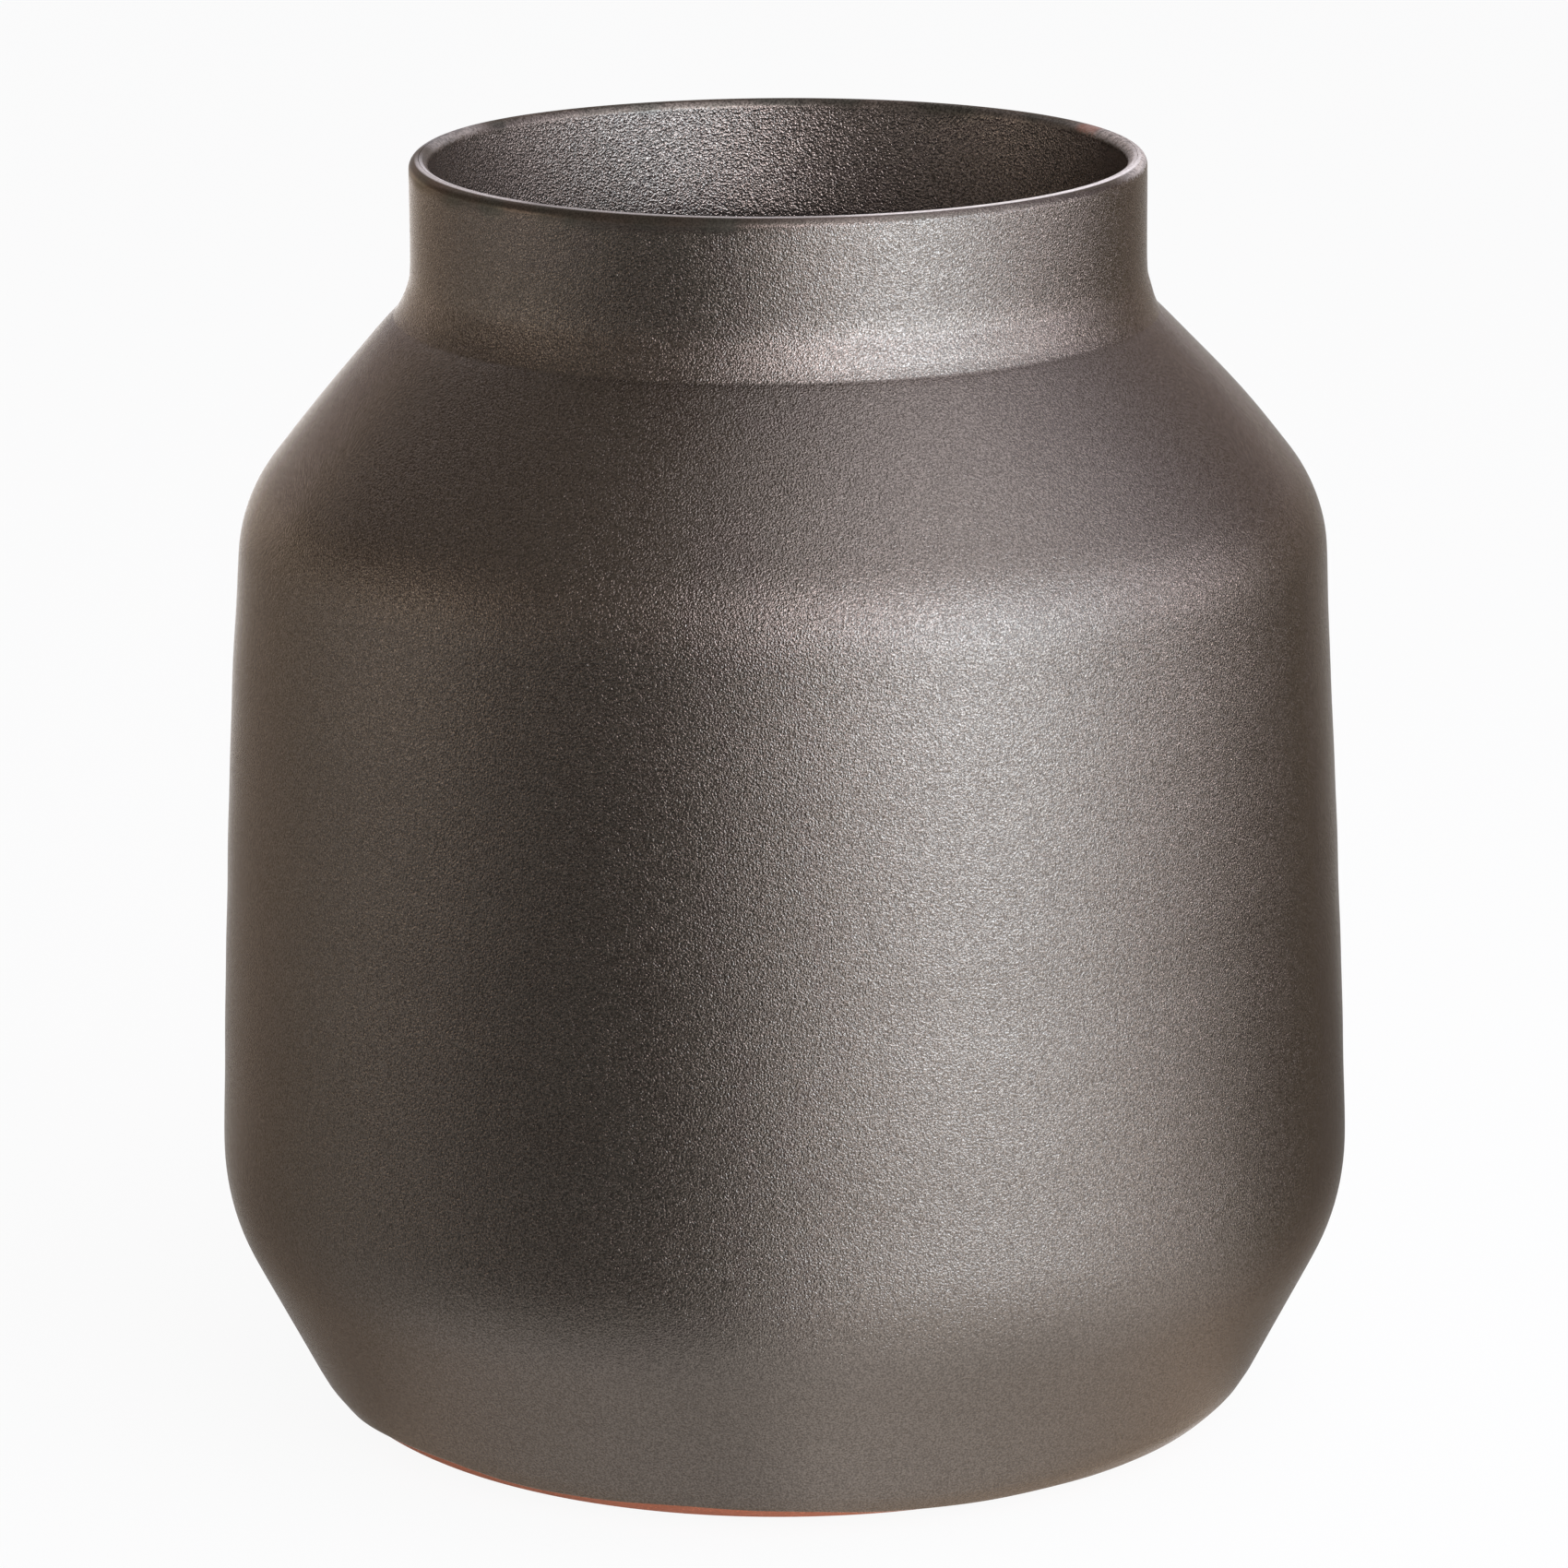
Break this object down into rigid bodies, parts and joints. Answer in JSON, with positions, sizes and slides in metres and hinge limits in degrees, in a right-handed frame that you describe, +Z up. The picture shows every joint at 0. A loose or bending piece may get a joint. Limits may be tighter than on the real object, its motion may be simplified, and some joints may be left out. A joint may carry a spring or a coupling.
{
  "type": "vase",
  "caption": "Wide-mouthed terracotta vase with a barrel body, sloping shoulder and short straight neck, in a dark metallic glaze with a bare clay foot, for flowers and branches.",
  "frame": {"origin": "on the table, under the middle of the pot", "axes": "+Z up along the axis of the pot, -Y towards the viewer of the picture"},
  "size_m": [0.25, 0.25, 0.2802],
  "materials": {
    "terracotta": "bare fired clay, matt, slightly gritty",
    "outer_glaze": "satin dark bronze metallic glaze with a fine pebbled grain",
    "inner_glaze": "the same metallic glaze, coarser and less even",
    "felt": "dark brown pressed felt"
  },
  "bodies": {
    "root": {"clay_body": "terracotta", "outer_glaze": "outer_glaze", "inner_glaze": "inner_glaze", "felt_foot_1": "felt", "felt_foot_2": "felt", "felt_foot_3": "felt", "felt_foot_4": "felt"}
  },
  "joints": []
}
